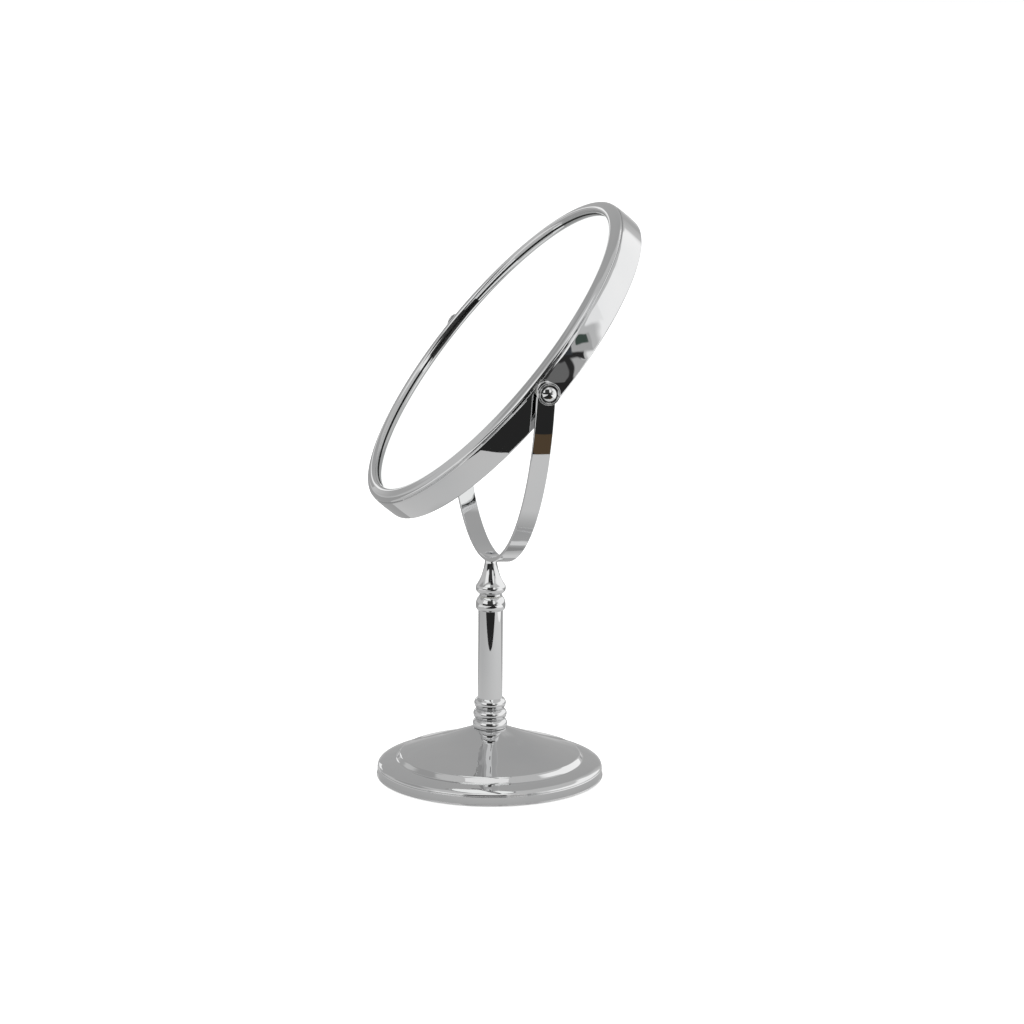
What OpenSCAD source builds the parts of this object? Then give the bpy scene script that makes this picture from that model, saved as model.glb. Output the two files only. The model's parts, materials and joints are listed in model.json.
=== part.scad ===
// Free-standing two-sided shaving mirror on a pedestal stem.
// Millimetres, +Z up. The origin is the centre of the base's underside.
// The mirror's pivot axis runs along X. The plain glass faces -Y when the mirror stands upright.

/* [Mirror head] */
// Outer diameter of the rim band
rim_d = 203; // [202:0.5:204]
// Diameter of each mirror glass
glass_d = 191; // [190:0.5:192]
// Thickness of the head over both bezels
head_t = 18.3; // [18:0.1:18.6]
// Width of the rim band, from the front bezel to its rounded rear edge
band_w = 13.7; // [13.3:0.1:13.9]
// How far the plain glass looks up from the horizontal, as it is left standing
tilt = 40; // [0:1:90]
// Radius of the magnifying glass's hollow face
magnifier_r = 1000; // [980:10:1500]

/* [Yoke] */
// Width of the yoke's steel strip
strip_w = 9.8; // [9.4:0.1:11]
// Thickness of the strip
strip_t = 2; // [1.8:0.1:2.4]
// Clear gap between the rim band and the strip at the pivots
pivot_gap = 6; // [5:0.1:7]
// Backward lean of the yoke on its neck
yoke_lean = 2.5; // [0:0.5:4]

/* [Stem] */
// Outer diameter of the stem tube
tube_d = 13.5; // [13.3:0.1:13.7]
// Height of the seam between the stem's bead and the bell
seam_z = 101.3; // [99:0.1:104]
// Height of the pivot axis
pivot_z = 232; // [231:0.5:236]

/* [Base] */
// Diameter of the base
base_d = 124; // [123:0.5:126]
// Height of the base's upright edge
edge_h = 5.9; // [5.7:0.1:6.2]
// Diameter of the step on the base's top
step_d = 100.4; // [99:0.2:101]
// Height of the base's neck
neck_z = 27.1; // [26.8:0.1:27.4]

/* [Hidden] */
$fn = 96;
// Fits
slip = 0.05;      // radial running clearance of turning fits
face_gap = 0.1;   // gap between faces that turn on each other
hole_gap = 0.2;   // radial clearance of a plain bolt hole
// Head
rim_r = rim_d / 2;
glass_r = glass_d / 2;
glass_t = 2.6;
face_n = 5.5;     // distance of each glass's edge from the pivot axis
lip_r = glass_r - 2.1;
board_t = 1.2;
gasket_t = 0.8;
gasket_w = 2.3;
band_t = 2;
front_n = 8.8;    // front bezel's crest above the pivot axis
rear_n = head_t - front_n;
band_n = 4.8;     // band's front edge above the pivot axis
hollow_n = face_n + sqrt(magnifier_r * magnifier_r - lip_r * lip_r);
// Yoke and pivots
hoop_in = rim_r + pivot_gap;
hoop_out = hoop_in + strip_t;
arm_top = 6.4;    // arm's rounded end above the pivot
strip_shift = 1;  // strip's offset toward the front at the pivots
pivot_y = hoop_out * sin(yoke_lean);
yoke_screw_r = 1.6;
stud_r = 2;
stud_foot = rim_r - band_t - 1.6;
spacer_r = 4.2;
friction_r = 4.7;
friction_t = 0.9;
spring_t = 0.7;
cup_r = 5.9;
cup_web = 0.4;
cap_r = 3.7;
cap_z = hoop_out + spring_t + cup_web + face_gap;
stud_top = cap_z + 1.2;
// Stem
tube_r = tube_d / 2;
bore_r = tube_r - 0.9;
tube_foot = 33;   // tube's lower end, inside the ring collar
plug_h = 9;
nylon_t = 0.5;
bead_z = seam_z - nylon_t;
bead_h = 7.6;
tube_head = bead_z - 3.7;
bolt_r = 3;
bolt_tip_r = 2.5;
collar_top = 43.9;
// Base
base_r = base_d / 2;
step_r = step_d / 2;
wall = 1.2;       // pressed sheet of the base
pad_t = 1.6;
cover_z = 0.5;    // lower edge of the cover above the table
rod_r = 3;
rod_foot = pad_t + 0.4;
nut_z = 3;
nut_h = 3.8;
washer_t = 1.2;
pocket_z = nut_z + nut_h + washer_t;
pocket_r = 10;
// Colours
nickel = [0.83, 0.84, 0.86];
steel = [0.62, 0.63, 0.65];
nylon = [0.93, 0.93, 0.90];
black = [0.06, 0.06, 0.07];

// ---- helpers ----

// Points along an arc about (x, z).
function arc(x, z, r, from, to, n = 10) =
    [for (i = [0:n]) let (a = from + (to - from) * i / n) [x + r * cos(a), z + r * sin(a)]];

// Points along a curve from p to s that q pulls on.
function bend(p, q, s, n = 14) =
    [for (i = [0:n]) let (t = i / n) (1 - t) * (1 - t) * p + 2 * t * (1 - t) * q + t * t * s];

function reverse(list) = [for (i = [len(list) - 1:-1:0]) list[i]];

module lathe(points) rotate_extrude() polygon(points);

module ring(outer, inner, low, high) lathe([[inner, low], [outer, low], [outer, high], [inner, high]]);

module rod(r, low, high) translate([0, 0, low]) cylinder(r = r, h = high - low);

module on_yoke() translate([0, pivot_y, pivot_z]) rotate([-yoke_lean, 0, 0]) children();

module on_head() translate([0, pivot_y, pivot_z]) rotate([90 - tilt, 0, 0]) children();

// Draws along the pivot axis, with +Z pointing outwards on side s. Left is -1 and right is 1.
module on_pivot(s) on_head() rotate([0, 90 * s, 0]) children();

// ---- base ----

// The cover's top, from its edge to its neck, at depth t below the outer face.
function cover_line(t) = concat(
    [[base_r - 0.4 - t, edge_h - 0.7], [base_r - 0.7 - t, edge_h - 0.2]],
    bend([base_r - 0.6 - t, edge_h], [base_r - 0.6 - t, edge_h + 2.3 - t], [step_r + 2.2, edge_h + 3.9 - t], 12),
    bend([step_r + 1.6, edge_h + 3.9 - t], [step_r + 1.1, edge_h + 3.9 - t], [step_r + 0.6, edge_h + 4.5 - t], 4),
    bend([step_r - 0.4, edge_h + 5.9 - t], [step_r - 0.9, edge_h + 6.8 - t], [step_r - 1.9, edge_h + 7 - t], 4),
    bend([step_r - 2.2, edge_h + 7.1 - t], [26, 19.9 - t], [10.4, neck_z - 0.6 - t], 16),
    [[9.2, neck_z - t]]);

module base_cover() {
    foot_r = base_r - 0.4;
    color(nickel) lathe(concat(
        [[base_r - wall - 0.4, cover_z], [base_r, cover_z], [base_r, cover_z + 0.6],
         [foot_r, cover_z + 1.1]],
        cover_line(0),
        [[rod_r + hole_gap, neck_z], [rod_r + hole_gap, neck_z - wall]],
        reverse(cover_line(wall))));
}

module ballast() {
    hub_r = 8;
    color("dimgray") lathe([[rod_r + hole_gap, pocket_z], [pocket_r, pocket_z], [pocket_r, pad_t],
        [base_r - 3, pad_t], [base_r - 3, 4], [step_r + 1, 7], [step_r - 4, 9.6], [16, 12],
        [hub_r + 1, 14], [hub_r, neck_z - wall], [rod_r + hole_gap, neck_z - wall]]);
}

module base_pad() color(black) cylinder(r = base_r - wall - 0.7, h = pad_t);

module base_washer() color(steel) ring(pocket_r - 0.8, rod_r + hole_gap, pocket_z - washer_t, pocket_z);

module base_nut() {
    color(steel) difference() {
        translate([0, 0, nut_z]) cylinder(r = 5.8, h = nut_h, $fn = 6);
        rod(rod_r, nut_z - 1, nut_z + nut_h + 1);
    }
}

module tie_rod() color(steel) rod(rod_r, rod_foot, tube_foot + plug_h);

// ---- stem ----

module ring_collar() {
    color(nickel) lathe(concat(
        [[rod_r + hole_gap, neck_z], [8.6, neck_z]],
        arc(5.7, neck_z + 2, 3.8, -28, 50),
        arc(6, neck_z + 7.8, 3.2, -60, 62),
        arc(5.3, neck_z + 13.7, 3.4, -60, 60),
        [[tube_r + slip, collar_top], [tube_r + slip, tube_foot], [rod_r + hole_gap, tube_foot]]));
}

module tube_plug() color(steel) ring(bore_r, rod_r, tube_foot, tube_foot + plug_h);

module stem_tube() color(nickel) ring(tube_r, bore_r, tube_foot, tube_head);

// The bead sleeves the tube's top end and closes it with a drilled web.
module stem_bead() {
    foot = bead_z - bead_h;
    widest = [8.15, foot + 2.2];
    color(nickel) lathe(concat(
        [[bolt_r + slip, tube_head], [tube_r, tube_head], [tube_r, foot]],
        bend([6.9, foot], [8, foot + 0.4], widest, 7),
        bend(widest, [8.3, foot + 5.6], [6.5, bead_z], 12),
        [[bolt_r + slip, bead_z]]));
}

module swivel_washer() color(nylon) ring(5.8, bolt_r + slip, bead_z, seam_z - slip);

// ---- swivel and yoke ----

module swivel_bolt() {
    head_z = tube_head - face_gap - spring_t;
    color(steel) union() {
        rod(4.8, head_z - 2.2, head_z);
        rod(bolt_r, head_z, seam_z);
        rod(bolt_tip_r, seam_z, seam_z + 7);
    }
}

module swivel_spring() {
    color(steel) ring(4.6, bolt_r, tube_head - face_gap - spring_t, tube_head - face_gap);
}

module bell_finial() {
    neck_r = 3.4;
    color(nickel) difference() {
        lathe(concat(
            [[0, seam_z], [6.1, seam_z]],
            arc(5, seam_z + 4.2, 3.25, -70, 28, 12),
            bend([7.8, seam_z + 5.9], [4.6, seam_z + 10.2], [neck_r, seam_z + 18.3]),
            [[neck_r, pivot_z - hoop_in], [0, pivot_z - hoop_in]]));
        rod(bolt_tip_r, seam_z - 1, seam_z + 7);
        on_yoke() rotate([90, 0, 0]) cylinder(r = hoop_out, h = 40, center = true, $fn = 256);
        on_yoke() rod(yoke_screw_r, -hoop_out - 9, -hoop_out + 1);
    }
}

module yoke_hoop() {
    middle = (hoop_in + hoop_out) / 2;
    arm_h = arm_top - strip_w / 2;
    sink_r = 3.3;
    color(nickel) on_yoke() difference() {
        translate([0, -strip_shift, 0]) union() {
            intersection() {
                rotate([90, 0, 0]) difference() {
                    cylinder(r = hoop_out, h = strip_w, center = true, $fn = 256);
                    cylinder(r = hoop_in, h = strip_w + 1, center = true, $fn = 256);
                }
                translate([-hoop_out - 1, -strip_w, -hoop_out - 1])
                    cube([2 * hoop_out + 2, 2 * strip_w, hoop_out + 1]);
            }
            for (s = [-1, 1]) translate([s * middle, 0, 0]) {
                translate([0, 0, arm_h / 2]) cube([strip_t, strip_w, arm_h], center = true);
                translate([0, 0, arm_h]) rotate([0, 90, 0]) cylinder(d = strip_w, h = strip_t, center = true);
            }
        }
        rotate([0, 90, 0]) cylinder(r = stud_r + slip, h = 2 * hoop_out + 2, center = true);
        rod(yoke_screw_r, -hoop_out - 1, -hoop_in + 1);
        translate([0, 0, -hoop_in - 1.5]) cylinder(r1 = yoke_screw_r, r2 = sink_r, h = 1.5);
        rod(sink_r, -hoop_in, -hoop_in + 1);
    }
}

module yoke_screw() {
    head_h = 1.4;
    slot_w = 0.7;
    color(steel) on_yoke() difference() {
        union() {
            rod(yoke_screw_r, -hoop_out - 8, -hoop_in - 1.5);
            translate([0, 0, -hoop_in - 1.5]) cylinder(r1 = yoke_screw_r, r2 = 3.1, h = head_h);
        }
        for (a = [0, 90]) rotate([0, 0, a]) translate([0, 0, -hoop_in]) cube([3.4, slot_w, 1.2], center = true);
    }
}

// ---- mirror head, drawn with the plain glass facing +Z ----

module rim_band() {
    edge = 0.3;
    round_r = 0.9;
    back = band_n - band_w;
    color(nickel) on_head() difference() {
        lathe(concat(
            [[rim_r - band_t, back]],
            arc(rim_r - round_r, back + round_r, round_r, -90, 0, 6),
            [[rim_r, band_n - edge], [rim_r - edge, band_n], [rim_r - band_t, band_n]]));
        rotate([0, 90, 0]) cylinder(r = stud_r, h = rim_d + 2, center = true);
    }
}

// A bezel's inner part, from the foot of its shoulder over the rolled lip to the glass's seat.
function bezel_lip(crest) = concat(
    arc(lip_r + 2.1, crest - 2.1, 2.1, 68, 180, 14),
    [[lip_r + 0.1, face_n + gasket_t], [glass_r + 0.6, face_n + gasket_t],
     [glass_r + 0.6, band_n], [glass_r + 1.2, band_n]]);

// Sits on the band's front edge, a small step in from the band's face.
module front_bezel() {
    color(nickel) on_head() lathe(concat(
        [[rim_r - band_t, band_n], [rim_r - 0.9, band_n], [rim_r - 0.9, band_n + 0.5]],
        bend([rim_r - 0.5, band_n + 0.9], [rim_r - 0.6, front_n - 1.3], [rim_r - 3.8, front_n - 0.6]),
        bezel_lip(front_n)));
}

// Sits inside the band.
module rear_bezel() {
    outer = rim_r - band_t;
    color(nickel) on_head() mirror([0, 0, 1]) lathe(concat(
        [[outer, band_n]],
        bend([outer, rear_n - 0.8], [outer - 0.1, rear_n - 0.4], [rim_r - 3.8, rear_n - 0.6], 8),
        bezel_lip(rear_n)));
}

module front_glass() color("white") on_head() rod(glass_r, face_n - glass_t, face_n);

// The hollow face is part of a sphere whose centre lies behind the rim.
module rear_glass() {
    lowest_n = hollow_n - magnifier_r - glass_t;
    color("white") on_head() mirror([0, 0, 1]) intersection() {
        difference() {
            rod(glass_r, lowest_n - 0.1, face_n);
            translate([0, 0, hollow_n]) sphere(r = magnifier_r, $fn = 200);
        }
        translate([0, 0, hollow_n]) sphere(r = magnifier_r + glass_t, $fn = 200);
    }
}

module backing_board() {
    color("saddlebrown") on_head() rod(glass_r, face_n - glass_t - board_t, face_n - glass_t);
}

// Reaches from the board to just short of the hollow glass's curved back.
module glass_spacer() {
    inner = glass_r - 2.5;
    back_r = magnifier_r + glass_t;
    low = sqrt(back_r * back_r - inner * inner) - hollow_n + slip;
    color(black) on_head() ring(glass_r, inner, low, face_n - glass_t - board_t);
}

module gasket() ring(glass_r, glass_r - gasket_w, face_n, face_n + gasket_t);

module front_gasket() color(black) on_head() gasket();

module rear_gasket() color(black) on_head() mirror([0, 0, 1]) gasket();

// ---- pivots, drawn with +Z outwards ----

module pivot_stud(s) {
    color(steel) on_pivot(s) union() {
        translate([-3.4, -3.4, stud_foot]) cube([6.8, 6.8, 1.4]);
        rod(stud_r, stud_foot, stud_top);
    }
}

module pivot_spacer(s) {
    color(nickel) on_pivot(s) ring(spacer_r, stud_r, rim_r, hoop_in - friction_t - 2 * face_gap);
}

module friction_washer(s) {
    top = hoop_in - 2 * face_gap;
    color(nylon) on_pivot(s) ring(friction_r, stud_r, top - friction_t, top);
}

module spring_washer(s) {
    color(steel) on_pivot(s) ring(cap_r, stud_r + slip, hoop_out, hoop_out + spring_t);
}

// A dished washer with a rounded flange, a groove and a raised ring round the cap.
module cup_washer(s) {
    web = hoop_out + spring_t;
    color(nickel) on_pivot(s) lathe(concat(
        [[stud_r + slip, web], [cap_r + 0.1, web], [cap_r + 0.1, hoop_out], [cup_r - 0.2, hoop_out]],
        arc(cup_r - 0.3, hoop_out + 1.2, 0.3, 0, 150, 6),
        [[cup_r - 0.65, hoop_out + 0.8]],
        arc(cup_r - 1.05, hoop_out + 1.7, 0.25, 10, 170, 6),
        [[cup_r - 1.4, web + cup_web], [stud_r + slip, web + cup_web]]));
}

// A flat-domed button with a rounded edge.
module pivot_cap(s) {
    edge = 0.5;
    side_h = 0.6;
    dome_r = 6;
    turn = acos((cap_r - edge) / (dome_r - edge));
    centre_z = cap_z + side_h - (dome_r - edge) * sin(turn);
    color(nickel) on_pivot(s) lathe(concat(
        [[stud_r, cap_z], [cap_r, cap_z]],
        arc(cap_r - edge, cap_z + side_h, edge, 0, turn, 6),
        arc(0, centre_z, dome_r, turn, 90, 12),
        [[0, stud_top], [stud_r, stud_top]]));
}

base_cover();
ballast();
base_pad();
base_washer();
base_nut();
tie_rod();
ring_collar();
tube_plug();
stem_tube();
stem_bead();
swivel_washer();
swivel_bolt();
swivel_spring();
bell_finial();
yoke_hoop();
yoke_screw();
spring_washer(-1);  // spring_washer_left
spring_washer(1);  // spring_washer_right
cup_washer(-1);  // cup_washer_left
cup_washer(1);  // cup_washer_right
rim_band();
front_bezel();
rear_bezel();
front_glass();
rear_glass();
backing_board();
glass_spacer();
front_gasket();
rear_gasket();
pivot_stud(-1);  // pivot_stud_left
pivot_stud(1);  // pivot_stud_right
pivot_spacer(-1);  // pivot_spacer_left
pivot_spacer(1);  // pivot_spacer_right
friction_washer(-1);  // friction_washer_left
friction_washer(1);  // friction_washer_right
pivot_cap(-1);  // pivot_cap_left
pivot_cap(1);  // pivot_cap_right
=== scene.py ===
"""A two-sided shaving mirror on a pedestal stem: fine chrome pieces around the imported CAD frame."""
import json
import math

import bmesh
import bpy
from mathutils import Matrix, Vector


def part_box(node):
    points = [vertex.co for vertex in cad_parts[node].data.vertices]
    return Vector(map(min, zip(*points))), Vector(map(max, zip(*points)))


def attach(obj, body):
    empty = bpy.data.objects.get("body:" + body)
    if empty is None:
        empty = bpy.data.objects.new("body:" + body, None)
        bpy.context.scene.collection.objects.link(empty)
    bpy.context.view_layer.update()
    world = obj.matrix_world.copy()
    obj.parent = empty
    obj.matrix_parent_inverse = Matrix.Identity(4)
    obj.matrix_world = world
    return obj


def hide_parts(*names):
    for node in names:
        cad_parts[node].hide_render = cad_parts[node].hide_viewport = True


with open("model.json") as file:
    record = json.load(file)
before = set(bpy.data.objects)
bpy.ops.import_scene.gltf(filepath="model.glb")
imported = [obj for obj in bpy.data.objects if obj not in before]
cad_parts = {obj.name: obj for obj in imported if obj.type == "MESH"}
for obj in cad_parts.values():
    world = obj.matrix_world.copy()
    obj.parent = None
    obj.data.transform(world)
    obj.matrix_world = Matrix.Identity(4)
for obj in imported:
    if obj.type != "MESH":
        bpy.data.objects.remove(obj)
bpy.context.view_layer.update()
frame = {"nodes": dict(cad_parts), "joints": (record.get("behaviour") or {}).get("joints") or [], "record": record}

MM = 0.001

# ---- sizes in millimetres and degrees, read from the frame where it holds them ----


def size_of(node):
    low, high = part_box(node)
    return (high - low) / MM


def joint(name):
    return next(j for j in frame["joints"] if j["name"] == name)


PIVOT = Vector(joint("mirror_tilt")["pos_m"]) / MM
SEAM_Z = joint("yoke_swivel")["pos_m"][2] / MM
TILT = 40
RIM_R = size_of("rim_band").x / 2
GLASS_R = size_of("front_glass").x / 2
BASE_R = size_of("base_cover").x / 2
TUBE_R = size_of("stem_tube").x / 2
COLLAR_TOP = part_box("ring_collar")[1].z / MM
TUBE_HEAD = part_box("stem_tube")[1].z / MM
TUBE_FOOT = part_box("stem_tube")[0].z / MM
BEAD_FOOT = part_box("stem_bead")[0].z / MM
BEAD_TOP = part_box("stem_bead")[1].z / MM
HOOP_OUT = size_of("yoke_hoop").x / 2
STRIP_T = 2
STRIP_W = 9.8
HOOP_IN = HOOP_OUT - STRIP_T
LEAN = math.degrees(math.asin(PIVOT.y / HOOP_OUT))
ARM_TOP = 6.4
STRIP_SHIFT = 1
NECK_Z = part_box("ring_collar")[0].z / MM
EDGE_H = 5.9
STEP_R = 50.2
WALL = 1.2
FRONT_N = 8.8
REAR_N = 9.5
BAND_N = 4.8
BAND_W = 13.7
BAND_T = 2
FACE_N = 5.5
GLASS_T = 2.6
GASKET_T = 0.8
LIP_R = GLASS_R - 2.1
MAGNIFIER_R = 1000
SLIP = 0.05
BORE_R = 3.2
PAD_T = 1.6
TUBE_WALL = 0.9
SCREW_R = 1.6
BOLT_BORE_R = 2.5
BELL_NECK_R = 3.4
STUD_R = 2
SPACER_R = 4.2
CUP_R = 5.9
CUP_WEB = 0.4
CAP_R = 3.7
CAP_EDGE = 0.5
DOME_R = 6
WEB_Z = HOOP_OUT + 0.7
CAP_Z = WEB_Z + 0.5
STUD_TOP = CAP_Z + 1.2

# How many straight sides stand for a full turn
WIDE_STEPS = 320
GLASS_STEPS = 192
SMALL_STEPS = 128

# ---- outlines ----


def arc(x, z, r, start, end, n=10):
    """Points on an arc about (x, z), between two angles in degrees."""
    turn = [math.radians(start + (end - start) * i / n) for i in range(n + 1)]
    return [(x + r * math.cos(a), z + r * math.sin(a)) for a in turn]


def bend(p, q, s, n=20):
    """Points on a curve from p to s that q pulls on."""
    out = []
    for i in range(n + 1):
        t = i / n
        weights = ((1 - t) ** 2, 2 * t * (1 - t), t * t)
        out.append(tuple(sum(w * v[k] for w, v in zip(weights, (p, q, s))) for k in (0, 1)))
    return out


def rounded(corners, n=5):
    """A closed outline from (x, z) or (x, z, r) corners, where r rounds the corner."""
    out = []
    count = len(corners)
    for i, corner in enumerate(corners):
        here = Vector(corner[:2])
        r = corner[2] if len(corner) > 2 else 0
        if not r:
            out.append(tuple(here))
            continue
        before = Vector(corners[i - 1][:2]) - here
        after = Vector(corners[(i + 1) % count][:2]) - here
        half = before.angle(after) / 2
        reach = min(r / math.tan(half), before.length * 0.49, after.length * 0.49)
        a, b = here + before.normalized() * reach, here + after.normalized() * reach
        out += bend(tuple(a), tuple(here), tuple(b), n)
    return out


# ---- meshes ----


def finish_mesh(bm, name, matrix, sharp=38):
    """Makes a smooth-shaded object from bm, in metres, with hard edges where faces turn sharply."""
    bmesh.ops.remove_doubles(bm, verts=bm.verts, dist=1e-5)
    bmesh.ops.dissolve_degenerate(bm, dist=1e-6, edges=bm.edges)
    bmesh.ops.recalc_face_normals(bm, faces=bm.faces)
    bm.transform(matrix)
    bm.transform(Matrix.Scale(MM, 4))
    mesh = bpy.data.meshes.new(name)
    bm.to_mesh(mesh)
    bm.free()
    piece = bpy.data.objects.new(name, mesh)
    bpy.context.scene.collection.objects.link(piece)
    shade(piece, sharp)
    return piece


def shade(piece, sharp=38):
    """Smooth shading, with hard edges where faces turn by more than sharp degrees."""
    piece.data.shade_smooth()
    piece.data.set_sharp_from_angle(angle=math.radians(sharp))
    weigh = piece.modifiers.new("even_normals", "WEIGHTED_NORMAL")
    weigh.keep_sharp = True


def carve(piece, *cutters):
    """Cuts the cutters out of piece and removes them."""
    piece.modifiers.clear()
    for cutter in cutters:
        cut = piece.modifiers.new("cut", "BOOLEAN")
        cut.operation, cut.solver, cut.object = "DIFFERENCE", "EXACT", cutter
    bpy.context.view_layer.update()
    cut_piece = piece.evaluated_get(bpy.context.evaluated_depsgraph_get())
    done = bpy.data.meshes.new_from_object(cut_piece)
    piece.modifiers.clear()
    piece.data = done
    for cutter in cutters:
        bpy.data.objects.remove(cutter)
    shade(piece)


def lathe(name, outline, matrix=Matrix.Identity(4), segments=192):
    """Turns a closed outline of (radius, height) points about Z."""
    bm = bmesh.new()
    rings = []
    for x, z in outline:
        if x < 1e-6:
            rings.append([bm.verts.new((0, 0, z))] * segments)
            continue
        turn = [2 * math.pi * i / segments for i in range(segments)]
        rings.append([bm.verts.new((x * math.cos(a), x * math.sin(a), z)) for a in turn])
    for low, high in zip(rings, rings[1:] + rings[:1]):
        for i in range(segments):
            j = (i + 1) % segments
            corners = list(dict.fromkeys((low[i], low[j], high[j], high[i])))
            if len(corners) > 2:
                bm.faces.new(corners)
    return finish_mesh(bm, name, matrix)


def put(piece, body, look, slot, *nodes):
    """Gives a piece its look, sets it on its body and lets it stand for CAD nodes."""
    piece.data.materials.clear()
    piece.data.materials.append(look)
    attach(piece, body)
    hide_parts(*nodes)


ON_YOKE = Matrix.Translation(PIVOT) @ Matrix.Rotation(math.radians(-LEAN), 4, "X")
ON_HEAD = Matrix.Translation(PIVOT) @ Matrix.Rotation(math.radians(90 - TILT), 4, "X")
ON_BACK = ON_HEAD @ Matrix.Rotation(math.pi, 4, "X")


def on_pivot(side):
    """Places a piece along the pivot axis with +Z outwards. Left is -1 and right is 1."""
    return ON_HEAD @ Matrix.Rotation(math.radians(90 * side), 4, "Y")


# ---- materials ----


class Nodes:
    """A short way to wire one material's nodes."""

    def __init__(self, name):
        self.material = bpy.data.materials.new(name)
        self.material.use_nodes = True
        self.tree = self.material.node_tree
        self.shader = self.tree.nodes["Principled BSDF"]
        self.place = self.tree.nodes.new("ShaderNodeTexCoord").outputs["Object"]

    def add(self, kind, **values):
        node = self.tree.nodes.new(kind)
        for key, value in values.items():
            node.inputs[key].default_value = value
        return node

    def noise(self, scale, detail=4, stretch=None):
        source = self.place
        if stretch:
            mapping = self.add("ShaderNodeMapping", Scale=stretch)
            self.tree.links.new(source, mapping.inputs["Vector"])
            source = mapping.outputs["Vector"]
        node = self.add("ShaderNodeTexNoise", Scale=scale, Detail=detail)
        self.tree.links.new(source, node.inputs["Vector"])
        return node.outputs["Fac"]

    def ramp(self, source, low, high, start=0.3, end=0.7):
        """Spreads a noise over a range of greys or colours."""
        node = self.tree.nodes.new("ShaderNodeValToRGB")
        for stop, at, colour in zip(node.color_ramp.elements, (start, end), (low, high)):
            stop.position = at
            stop.color = (*colour, 1) if isinstance(colour, tuple) else (colour,) * 3 + (1,)
        self.tree.links.new(source, node.inputs["Fac"])
        return node.outputs["Color"]

    def wire(self, source, socket):
        self.tree.links.new(source, self.shader.inputs[socket])

    def bump(self, source, strength, distance):
        node = self.add("ShaderNodeBump", Strength=strength, Distance=distance)
        self.tree.links.new(source, node.inputs["Height"])
        self.wire(node.outputs["Normal"], "Normal")


def chrome(name, ripple=0.0):
    """Bright plate: faint tint changes, a film of finger grease, and the sheet's slow ripple."""
    n = Nodes(name)
    n.shader.inputs["Metallic"].default_value = 1
    n.wire(n.ramp(n.noise(22), (0.655, 0.66, 0.665), (0.70, 0.70, 0.70)), "Base Color")
    n.wire(n.ramp(n.noise(160, 6), 0.012, 0.04), "Roughness")
    if ripple:
        n.bump(n.noise(60, 1), 1, ripple)
    return n.material


def mirror_glass(name):
    n = Nodes(name)
    n.shader.inputs["Metallic"].default_value = 1
    n.wire(n.ramp(n.noise(8), (0.93, 0.945, 0.94), (0.95, 0.96, 0.955)), "Base Color")
    n.wire(n.ramp(n.noise(60, 3), 0.0, 0.012), "Roughness")
    return n.material


def rough(name, low, high, scale, roughness, bump, metal=0.0, stretch=None):
    """A plain surface whose colour, gloss and height follow one noise."""
    n = Nodes(name)
    grain = n.noise(scale, 6, stretch)
    n.shader.inputs["Metallic"].default_value = metal
    n.wire(n.ramp(grain, low, high), "Base Color")
    n.wire(n.ramp(grain, *roughness), "Roughness")
    n.bump(grain, 0.6, bump)
    return n.material


LOOKS = {
    "chrome_plate": chrome("bright_chrome"),
    "silvered_glass": mirror_glass("silvered_glass"),
    "plain_steel": rough(
        "zinc_steel", (0.42, 0.43, 0.45), (0.58, 0.59, 0.61), 400, (0.28, 0.45), 4e-6, metal=1),
    "ballast_iron": rough(
        "cast_iron", (0.03, 0.03, 0.032), (0.09, 0.088, 0.085), 500, (0.7, 0.95), 2e-4, metal=0.4),
    "base_felt": rough(
        "black_felt", (0.012, 0.012, 0.014), (0.045, 0.045, 0.05), 1500, (0.9, 1.0), 3e-4),
    "nylon": rough(
        "white_nylon", (0.74, 0.74, 0.69), (0.84, 0.84, 0.80), 300, (0.35, 0.5), 1e-5),
    "gasket_rubber": rough(
        "black_rubber", (0.012, 0.012, 0.013), (0.03, 0.03, 0.03), 600, (0.5, 0.7), 2e-5),
    "board": rough(
        "hardboard", (0.16, 0.09, 0.045), (0.30, 0.19, 0.11), 250, (0.7, 0.9), 1e-4, stretch=(1, 6, 1)),
}
PRESSED = chrome("pressed_chrome", ripple=4e-4)
ROLLED = chrome("rolled_chrome", ripple=1.2e-4)

for node, cad in frame["nodes"].items():
    slot = next(s["material_slot"] for s in frame["record"]["subparts"] if s["node"] == node)
    cad.data.materials.clear()
    cad.data.materials.append(LOOKS[slot])

# ---- base and stem ----

TURNED = LOOKS["chrome_plate"]


def cover_line(t):
    """The base cover's top from its edge to its neck, at depth t below the outer face."""
    side = BASE_R - 0.4 - t
    edge = BASE_R - 0.6 - t
    shelf = EDGE_H + 3.9 - t
    top = EDGE_H + 7 - t
    return (
        bend((side, EDGE_H - 0.9), (side, EDGE_H - 0.3), (side - 0.35, EDGE_H - 0.2), 5)
        + bend((edge, EDGE_H), (edge, EDGE_H + 2.3 - t), (STEP_R + 2.2, shelf - 0.05), 28)
        + bend((STEP_R + 1.6, shelf), (STEP_R + 1.1, shelf), (STEP_R + 0.6, shelf + 0.6), 8)
        + bend((STEP_R - 0.4, top - 1.1), (STEP_R - 0.9, top - 0.2), (STEP_R - 1.9, top), 10)
        + bend((STEP_R - 2.2, top + 0.1), (26, 19.9 - t), (10.4, NECK_Z - 0.6 - t), 48)
        + [(9.2, NECK_Z - t)])


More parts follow.
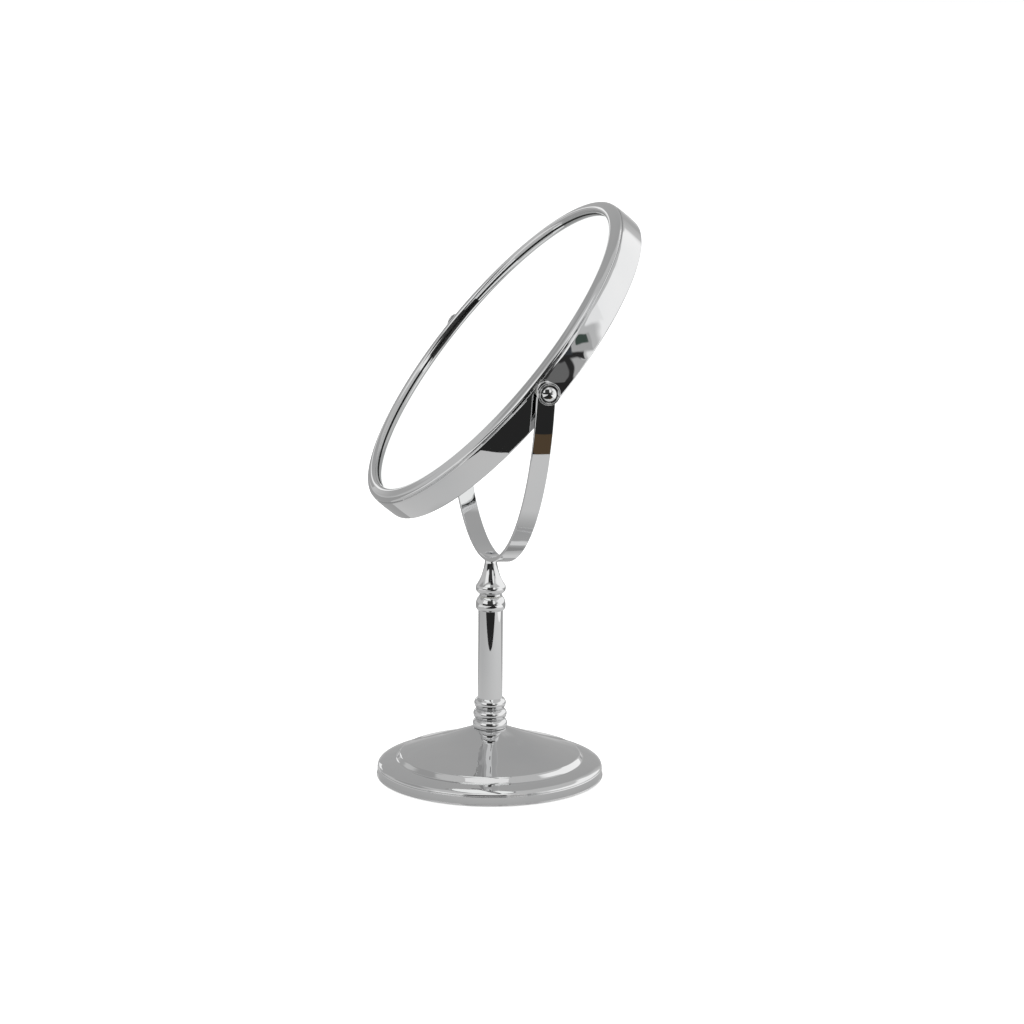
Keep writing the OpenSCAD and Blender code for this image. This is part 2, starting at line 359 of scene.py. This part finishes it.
def make_base():
    foot = arc(BASE_R - 0.3, 0.8, 0.3, -90, 90, 8) + [(BASE_R - 0.4, 1.25)]
    cover = [(BASE_R - WALL - 0.4, 0.5)] + foot + cover_line(0)
    cover += [(BORE_R, NECK_Z), (BORE_R, NECK_Z - WALL)] + cover_line(WALL)[::-1]
    put(lathe("cover", cover, segments=WIDE_STEPS), "stand", PRESSED, "chrome_plate", "base_cover")
    r = BASE_R - WALL - 0.7
    hollow_r, hollow_z = 24, 0.35
    pad = bend((r - 0.5, 0), (r, 0), (r, 0.5), 5)
    pad += bend((r, PAD_T - 0.4), (r, PAD_T), (r - 0.4, PAD_T), 5) + [(0, PAD_T)]
    pad += [(0, hollow_z), (hollow_r, hollow_z)] + bend((25, 0.3), (26, 0.02), (28, 0), 6)
    felt = lathe("felt_pad", pad, segments=SMALL_STEPS)
    put(felt, "stand", LOOKS["base_felt"], "base_felt", "base_pad")


def make_stem():
    collar = [(BORE_R, NECK_Z), (8.6, NECK_Z)] + arc(5.7, NECK_Z + 2, 3.8, -28, 50, 28)
    collar += arc(6, NECK_Z + 7.8, 3.2, -60, 62, 28) + arc(5.3, NECK_Z + 13.7, 3.4, -60, 60, 28)
    collar += [(TUBE_R + SLIP, COLLAR_TOP), (TUBE_R + SLIP, TUBE_FOOT), (BORE_R, TUBE_FOOT)]
    put(lathe("collar", collar), "stand", TURNED, "chrome_plate", "ring_collar")
    bore = TUBE_R - TUBE_WALL
    tube = [(bore, TUBE_FOOT), (TUBE_R, TUBE_FOOT), (TUBE_R, TUBE_HEAD), (bore, TUBE_HEAD)]
    put(lathe("tube", tube), "stand", TURNED, "chrome_plate", "stem_tube")
    rod = 3 + SLIP
    bead = [(rod, TUBE_HEAD), (TUBE_R, TUBE_HEAD), (TUBE_R, BEAD_FOOT)]
    widest = (8.15, BEAD_FOOT + 2.2)
    bead += bend((6.9, BEAD_FOOT), (8, BEAD_FOOT + 0.4), widest, 14)
    bead += bend(widest, (8.3, BEAD_FOOT + 5.6), (6.5, BEAD_TOP), 28)[1:] + [(rod, BEAD_TOP)]
    put(lathe("bead", bead), "stand", TURNED, "chrome_plate", "stem_bead")


# ---- yoke ----


def make_bell():
    """The bell, with its top cut to the slope of the strip that sits on it."""
    top = PIVOT.z - HOOP_OUT * math.cos(math.radians(LEAN)) - 0.05
    screw_end, bolt_end = top - 9, SEAM_Z + 7
    bell = [(BOLT_BORE_R, SEAM_Z), (6, SEAM_Z), (6.1, SEAM_Z + 0.1)]
    bell += arc(5, SEAM_Z + 4.2, 3.25, -70, 28, 32)
    bell += bend((7.8, SEAM_Z + 5.9), (4.6, SEAM_Z + 10.2), (BELL_NECK_R, SEAM_Z + 18.3), 40)
    bell += [(BELL_NECK_R, top), (SCREW_R, top), (SCREW_R, screw_end), (0, screw_end)]
    bell += [(0, bolt_end), (BOLT_BORE_R, bolt_end)]
    piece = lathe("bell", bell)
    for v in piece.data.vertices:
        if v.co.z > (top - 0.5) * MM:
            v.co.z -= v.co.y * math.tan(math.radians(LEAN))
    put(piece, "yoke", TURNED, "chrome_plate", "bell_finial")


def strip_ring(centre, out, half_w, round_r=0.4):
    """A rounded rectangle across the strip. Out points away from the hoop's centre, in XZ."""
    half_t = STRIP_T / 2
    r = min(round_r, half_w * 0.9)
    ring = []
    for i, (a, b) in enumerate(((1, 1), (-1, 1), (-1, -1), (1, -1))):
        for x, y in arc(a * (half_t - r), b * (half_w - r), r, 90 * i, 90 * i + 90, 5):
            ring.append(centre + out * x + Vector((0, y - STRIP_SHIFT, 0)))
    return ring


def make_hoop():
    middle = (HOOP_IN + HOOP_OUT) / 2
    half = STRIP_W / 2
    arm_h = ARM_TOP - half
    left, right = Vector((-1, 0, 0)), Vector((1, 0, 0))
    end = [(arm_h + half * math.sin(a), half * math.cos(a)) for a in map(math.radians, range(0, 89, 4))]
    rings = [strip_ring(left * middle + Vector((0, 0, z)), left, w) for z, w in reversed(end)]
    steps = 160
    for i in range(steps + 1):
        a = math.pi * (1 + i / steps)
        out = Vector((math.cos(a), 0, math.sin(a)))
        rings.append(strip_ring(out * middle, out, half))
    rings += [strip_ring(right * middle + Vector((0, 0, z)), right, w) for z, w in end]
    bm = bmesh.new()
    rows = [[bm.verts.new(p) for p in ring] for ring in rings]
    count = len(rows[0])
    for low, high in zip(rows, rows[1:]):
        for i in range(count):
            j = (i + 1) % count
            bm.faces.new((low[i], low[j], high[j], high[i]))
    bm.faces.new(rows[0])
    bm.faces.new(rows[-1])
    piece = finish_mesh(bm, "hoop", ON_YOKE, sharp=50)
    eye, past_arm = STUD_R + SLIP, 130
    across = ON_YOKE @ Matrix.Rotation(math.radians(90), 4, "Y")
    eyes = lathe("cut_eyes", [(0, -past_arm), (eye, -past_arm), (eye, past_arm), (0, past_arm)], across, 48)
    below, above, head_r = -HOOP_OUT - 2, -HOOP_IN + 3, 3.3
    sink = [(0, below), (SCREW_R, below), (SCREW_R, -HOOP_IN - 1.5), (head_r, -HOOP_IN),
            (head_r, above), (0, above)]
    carve(piece, eyes, lathe("cut_sink", sink, ON_YOKE, 48))
    put(piece, "yoke", ROLLED, "chrome_plate", "yoke_hoop")


# ---- mirror head, drawn with the plain glass facing +Z ----


def make_band():
    """The band's face is very slightly crowned, and its rear edge is rounded."""
    back = BAND_N - BAND_W
    middle = (BAND_N + back) / 2
    crown, edge_r, steps = 0.22, 0.9, 12
    face = []
    for i in range(steps + 1):
        z = back + edge_r + (BAND_W - 1.2) * i / steps
        face.append((RIM_R - crown * ((z - middle) / BAND_W * 2) ** 2, z))
    low = face[0][0]
    outline = [(RIM_R - BAND_T, back)] + arc(low - edge_r, back + edge_r, edge_r, -90, -8, 9) + face
    outline += [(face[-1][0] - 0.25, BAND_N), (RIM_R - BAND_T, BAND_N)]
    band = lathe("band", outline, ON_HEAD, WIDE_STEPS)
    put(band, "mirror", ROLLED, "chrome_plate", "rim_band")


def bezel_lip(crest):
    """From the crease below the shoulder, over the rolled lip, to the glass's seat."""
    wall_foot = FACE_N + 0.55
    roll_r = 2.1
    return (
        arc(LIP_R + roll_r, crest - roll_r, roll_r, 68, 180, 40)
        + [(LIP_R, wall_foot), (LIP_R + 0.5, wall_foot), (LIP_R + 0.5, FACE_N + GASKET_T),
           (GLASS_R + 0.6, FACE_N + GASKET_T), (GLASS_R + 0.6, BAND_N), (GLASS_R + 1.2, BAND_N)])


def make_bezels():
    front = [(RIM_R - BAND_T, BAND_N), (RIM_R - 0.9, BAND_N), (RIM_R - 0.9, BAND_N + 0.5)]
    shoulder_r = RIM_R - 3.8
    front += bend((RIM_R - 0.52, BAND_N + 0.9), (RIM_R - 0.62, FRONT_N - 1.3),
                  (shoulder_r, FRONT_N - 0.6), 30)
    bezel = lathe("bezel_front", front + bezel_lip(FRONT_N), ON_HEAD, WIDE_STEPS)
    put(bezel, "mirror", TURNED, "chrome_plate", "front_bezel")
    outer = RIM_R - BAND_T - 0.02
    rear = [(outer, BAND_N)]
    rear += bend((outer, REAR_N - 0.9), (outer - 0.1, REAR_N - 0.4), (shoulder_r, REAR_N - 0.6), 16)
    bezel = lathe("bezel_rear", rear + bezel_lip(REAR_N), ON_BACK, WIDE_STEPS)
    put(bezel, "mirror", TURNED, "chrome_plate", "rear_bezel")


def make_glasses():
    low, top = FACE_N - GLASS_T, FACE_N
    ground = 0.3
    front = [(0, low), (GLASS_R - ground, low), (GLASS_R, low + ground),
             (GLASS_R, top - ground), (GLASS_R - ground, top), (0, top)]
    glass = lathe("glass_front", front, ON_HEAD, GLASS_STEPS)
    put(glass, "mirror", LOOKS["silvered_glass"], "silvered_glass", "front_glass")
    centre = FACE_N + math.sqrt(MAGNIFIER_R ** 2 - LIP_R ** 2)
    steps = 32
    radii = [LIP_R * i / steps for i in range(steps + 1)]

    def bowl(ball_r, r):
        return r, centre - math.sqrt(ball_r ** 2 - r * r)

    hollow = [bowl(MAGNIFIER_R + GLASS_T, r) for r in radii + [GLASS_R]] + [(GLASS_R, FACE_N)]
    hollow += [bowl(MAGNIFIER_R, r) for r in reversed(radii)]
    glass = lathe("glass_rear", hollow, ON_BACK, GLASS_STEPS)
    put(glass, "mirror", LOOKS["silvered_glass"], "silvered_glass", "rear_glass")
    inner = LIP_R + 0.55
    seal = rounded([(inner, FACE_N, 0.2), (GLASS_R, FACE_N), (GLASS_R, FACE_N + GASKET_T),
                    (inner, FACE_N + GASKET_T, 0.2)])
    for name, place, node in (("seal_front", ON_HEAD, "front_gasket"), ("seal_rear", ON_BACK, "rear_gasket")):
        put(lathe(name, seal, place), "mirror", LOOKS["gasket_rubber"], "gasket_rubber", node)


def make_pivots():
    for side, name in ((-1, "left"), (1, "right")):
        place = on_pivot(side)
        eye, recess_r = STUD_R + SLIP, CAP_R + 0.1
        cup = [(eye, WEB_Z), (recess_r, WEB_Z), (recess_r, HOOP_OUT), (CUP_R - 0.2, HOOP_OUT)]
        cup += arc(CUP_R - 0.3, HOOP_OUT + 1.2, 0.3, 0, 150, 12) + [(CUP_R - 0.65, HOOP_OUT + 0.8)]
        cup += arc(CUP_R - 1.05, HOOP_OUT + 1.7, 0.25, 10, 170, 12)
        cup += [(CUP_R - 1.4, WEB_Z + CUP_WEB), (eye, WEB_Z + CUP_WEB)]
        washer = lathe("cup_" + name, cup, place, SMALL_STEPS)
        put(washer, "yoke", TURNED, "chrome_plate", "cup_washer_" + name)
        # The cap's rounded edge meets its dome where both point the same way.
        edge_z = CAP_Z + 0.6
        turn = math.degrees(math.acos((CAP_R - CAP_EDGE) / (DOME_R - CAP_EDGE)))
        centre = edge_z - (DOME_R - CAP_EDGE) * math.sin(math.radians(turn))
        cap = [(STUD_R, CAP_Z), (CAP_R - 0.1, CAP_Z), (CAP_R, CAP_Z + 0.1)]
        cap += arc(CAP_R - CAP_EDGE, edge_z, CAP_EDGE, 0, turn, 9)
        cap += arc(0, centre, DOME_R, turn, 90, 24)[1:] + [(0, STUD_TOP), (STUD_R, STUD_TOP)]
        button = lathe("cap_" + name, cap, place, SMALL_STEPS)
        put(button, "mirror", TURNED, "chrome_plate", "pivot_cap_" + name)
        top = HOOP_IN - 1.1
        spacer = rounded([(STUD_R, RIM_R), (SPACER_R, RIM_R, 0.1), (SPACER_R, top, 0.4), (STUD_R, top)])
        sleeve = lathe("spacer_" + name, spacer, place, 96)
        put(sleeve, "mirror", TURNED, "chrome_plate", "pivot_spacer_" + name)


make_base()
make_stem()
make_bell()
make_hoop()
make_band()
make_bezels()
make_glasses()
make_pivots()

# ---- stage: floor, room and lights ----

VIEW_AZ = math.radians(76.95)
VIEW_EL = math.radians(12.38)
ROLL = math.radians(0.41)
DISTANCE = 1882
# The picture's width, and how much of it a millimetre takes at the aim
PICTURE = 1024
PX_PER_MM = 1.85
AIM_RIGHT = 11.25
AIM_Z = 147.5
TABLE_FRONT = 280
RIGHT = Vector((math.cos(VIEW_AZ), math.sin(VIEW_AZ), 0))
FORWARD = Vector((math.sin(VIEW_AZ), -math.cos(VIEW_AZ), 0))
SENSOR = 36


def make_camera():
    back = FORWARD * math.cos(VIEW_EL) + Vector((0, 0, math.sin(VIEW_EL)))
    data = bpy.data.cameras.new("camera")
    data.sensor_width = SENSOR
    data.lens = PX_PER_MM * DISTANCE / PICTURE * SENSOR
    camera = bpy.data.objects.new("camera", data)
    bpy.context.scene.collection.objects.link(camera)
    turn = (-back).to_track_quat("-Z", "Y").to_matrix().to_4x4() @ Matrix.Rotation(ROLL, 4, "Z")
    aim = RIGHT * AIM_RIGHT + Vector((0, 0, AIM_Z))
    camera.matrix_world = Matrix.Translation((aim + back * DISTANCE) * MM) @ turn
    bpy.context.scene.camera = camera


def card(name, corners, look, z=0):
    """A level polygon. Its corners run along the view's right and towards the viewer."""
    mesh = bpy.data.meshes.new(name)
    places = [(RIGHT * x + FORWARD * y + Vector((0, 0, z))) * MM for x, y in corners]
    mesh.from_pydata(places, [], [tuple(range(len(corners)))])
    item = bpy.data.objects.new(name, mesh)
    item.data.materials.append(look)
    bpy.context.scene.collection.objects.link(item)
    return item


def glowing(name, level, albedo=0.0, tint=(1, 1, 1)):
    """A surface that glows evenly, and with an albedo is also lit by the room."""
    n = Nodes(name)
    n.shader.inputs["Base Color"].default_value = (albedo, albedo, albedo, 1)
    n.shader.inputs["Roughness"].default_value = 1
    n.shader.inputs["Specular IOR Level"].default_value = 0
    n.shader.inputs["Emission Color"].default_value = (*tint, 1)
    n.shader.inputs["Emission Strength"].default_value = level
    return n.material


def make_floor():
    """The camera sees an endless white floor. The chrome sees a grey table between two white side boards.

    The table ends in front, where the dark room shows past it."""
    far = 6000
    floor = card("floor", [(-far, -far), (far, -far), (far, far), (-far, far)],
                 glowing("floor_white", 0.62, 0.75))
    floor.visible_glossy = False
    back, left, right, ahead = -150, -400, 350, 2500
    cards = [
        ("table", [(left, back), (right, back), (right, TABLE_FRONT), (left, TABLE_FRONT)], 0.66),
        ("behind", [(-far, -far), (far, -far), (far, back), (-far, back)], 0.42),
        ("board_left", [(-far, back), (left, back), (left, TABLE_FRONT), (-260, TABLE_FRONT),
                        (200, 1700), (200, ahead), (-far, ahead)], 0.95),
        ("board_right", [(right, back), (far, back), (far, ahead), (4000, ahead), (1700, 1200),
                         (650, 1000), (right, TABLE_FRONT)], 1.25),
        ("gap", [(-260, TABLE_FRONT), (right, TABLE_FRONT), (650, 1000), (1700, 1200),
                 (4000, ahead), (200, ahead), (200, 1700)], 0.025),
    ]
    items = [card(name, corners, glowing(name + "_glow", level)) for name, corners, level in cards]
    shade_table(items[0].data.materials[0], left, right)
    # A brown board, high enough that only the yoke's arm and the band show it.
    wood = [(70, 186), (130, 180), (140, 246), (84, 252)]
    items.append(card("wood", wood, glowing("wood_glow", 0.10, tint=(1, 0.68, 0.40)), 105))
    for item in items:
        item.visible_camera = item.visible_diffuse = item.visible_shadow = False


def shade_table(look, left, right):
    """The table's glow grows from left to right and falls off close to the base as a painted contact shadow."""
    tree = look.node_tree
    place = tree.nodes["Texture Coordinate"].outputs["Object"]

    def measure(kind, ranges, axis=None):
        node = tree.nodes.new("ShaderNodeVectorMath")
        node.operation = kind
        tree.links.new(place, node.inputs[0])
        if axis:
            node.inputs[1].default_value = axis
        spread = tree.nodes.new("ShaderNodeMapRange")
        for socket, value in zip(("From Min", "From Max", "To Min", "To Max"), ranges):
            spread.inputs[socket].default_value = value
        tree.links.new(node.outputs["Value"], spread.inputs["Value"])
        return spread.outputs[0]

    both = tree.nodes.new("ShaderNodeMath")
    both.operation = "MULTIPLY"
    tree.links.new(measure("DOT_PRODUCT", (left * MM, right * MM, 0.56, 0.84), RIGHT), both.inputs[0])
    # Painted contact shadow: the glow drops to 0.68 at the base's edge and comes back to full over shadow_w.
    shadow_w = 45
    tree.links.new(measure("LENGTH", (BASE_R * MM, (BASE_R + shadow_w) * MM, 0.68, 1)), both.inputs[1])
    tree.links.new(both.outputs[0], tree.nodes["Principled BSDF"].inputs["Emission Strength"])


class Sky:
    """The room as a colour for each direction: heading from +X towards +Y, and height, in degrees."""

    def __init__(self, base):
        world = bpy.data.worlds.new("room")
        world.use_nodes = True
        self.tree = world.node_tree
        bpy.context.scene.world = world
        place = self.tree.nodes.new("ShaderNodeTexCoord").outputs["Generated"]
        parts = self.tree.nodes.new("ShaderNodeSeparateXYZ")
        self.tree.links.new(place, parts.inputs[0])
        x, y, z = parts.outputs
        wave = self.tree.nodes.new("ShaderNodeTexNoise")
        wave.inputs["Scale"].default_value = 5
        wave.inputs["Detail"].default_value = 1
        self.tree.links.new(place, wave.inputs["Vector"])
        shake = self.tree.nodes.new("ShaderNodeSeparateXYZ")
        self.tree.links.new(wave.outputs["Color"], shake.inputs[0])
        heading = self.math("MULTIPLY", self.math("ARCTAN2", y, x), math.degrees(1))
        height = self.math("MULTIPLY", self.math("ARCSINE", z), math.degrees(1))
        # Uneven edges, as the things in a real room have.
        self.heading = self.math("ADD", heading, self.swing(shake.outputs[0], 10))
        self.height = self.math("ADD", height, self.swing(shake.outputs[1], 6))
        self.colour = self.math("ADD", base, 0.0)

    def math(self, kind, a, b=None):
        node = self.tree.nodes.new("ShaderNodeMath")
        node.operation = kind
        for socket, value in zip(node.inputs, (a, b)):
            if isinstance(value, (int, float)):
                socket.default_value = value
            elif value is not None:
                self.tree.links.new(value, socket)
        return node.outputs[0]

    def swing(self, source, width):
        """Turns a 0 to 1 noise into one around 0."""
        return self.math("MULTIPLY", self.math("SUBTRACT", source, 0.5), width)

    def within(self, source, low, high, soft):
        """1 inside low to high, falling to 0 over soft at both ends."""
        def slope(a, b):
            node = self.tree.nodes.new("ShaderNodeMapRange")
            node.interpolation_type = "SMOOTHSTEP"
            node.inputs["From Min"].default_value, node.inputs["From Max"].default_value = a, b
            self.tree.links.new(source, node.inputs["Value"])
            return node.outputs[0]
        return self.math("MULTIPLY", slope(low - soft, low), slope(high + soft, high))

    def patch(self, heading, height, level, soft=4, tint=(1, 1, 1)):
        """Lays one soft-edged rectangle of the room over what is there already."""
        across = self.within(self.heading, *heading, soft)
        mask = self.math("MULTIPLY", across, self.within(self.height, *height, soft))
        mix = self.tree.nodes.new("ShaderNodeMix")
        mix.data_type = "RGBA"
        self.tree.links.new(mask, mix.inputs["Factor"])
        self.tree.links.new(self.colour, mix.inputs["A"])
        mix.inputs["B"].default_value = (*(level * t for t in tint), 1)
        self.colour = mix.outputs["Result"]

    def hang(self, seen):
        """Ends the sky. The camera itself sees plain white behind the object."""
        ray = self.tree.nodes.new("ShaderNodeLightPath").outputs["Is Camera Ray"]
        mix = self.tree.nodes.new("ShaderNodeMix")
        mix.data_type = "RGBA"
        self.tree.links.new(ray, mix.inputs["Factor"])
        self.tree.links.new(self.colour, mix.inputs["A"])
        mix.inputs["B"].default_value = (seen, seen, seen, 1)
        self.tree.links.new(mix.outputs["Result"], self.tree.nodes["Background"].inputs["Color"])


def make_room():
    sky = Sky(0.66)
    sky.patch((-180, 180), (-90, -14), 0.9, soft=2)
    # Behind the object, and high on the left.
    sky.patch((148, 180), (6, 62), 0.47, soft=8)
    sky.patch((-180, -150), (6, 62), 0.47, soft=8)
    sky.patch((-140, -100), (30, 50), 0.42, soft=8)
    # The bright board on the right, and the end of the room beside it.
    sky.patch((54, 134), (-14, 37), 1.2, soft=5)
    sky.patch((40, 60), (-14, 10), 1.1, soft=2)
    sky.patch((44, 56), (26, 37), 1.1, soft=2)
    # Lamps above the camera, and on both sides of it.
    sky.patch((-76, -42), (13, 40), 1.15, soft=3)
    sky.patch((11, 24), (13, 40), 1.15, soft=2)
    sky.patch((-52, 18), (50, 80), 1.05, soft=2)
    # The dark room behind the camera, and the camera.
    sky.patch((-62, 30), (-14, 10.5), 0.025, soft=1)
    sky.patch((-76, 34), (-3, 10.5), 0.03, soft=1)
    sky.patch((-37, 7), (8, 42), 0.05, soft=2)
    sky.patch((13, 24), (-7, 7), 0.17, soft=1)
    sky.patch((29, 37), (-5, 7), 0.5, soft=1.5)
    sky.patch((16, 37), (8.6, 11.6), 0.03, soft=0.6)
    sky.patch((24, 30), (10, 20), 0.06, soft=0.6, tint=(0.8, 0.9, 1))
    sky.patch((31, 44), (12, 20), 0.5, soft=1.5)
    sky.patch((34, 42), (15.5, 20), 0.09, soft=0.8, tint=(0.7, 1, 0.85))
    # What the plain glass shows.
    sky.patch((-174, -162), (5.5, 15.5), 1.12, soft=1)
    sky.hang(1.0)


def make_lights():
    lamps = (("softbox_top", (0, 0, 1500), 9, 1600), ("softbox_left", (-900, -700, 900), 5, 900))
    for name, at, power, width in lamps:
        data = bpy.data.lights.new(name, "AREA")
        data.energy, data.size = power, width * MM
        lamp = bpy.data.objects.new(name, data)
        lamp.location = Vector(at) * MM
        lamp.rotation_mode = "QUATERNION"
        lamp.rotation_quaternion = (-Vector(at)).to_track_quat("-Z", "Y")
        lamp.visible_glossy = False
        bpy.context.scene.collection.objects.link(lamp)


bpy.context.scene.view_settings.view_transform = "Standard"
make_camera()
make_floor()
make_room()
make_lights()
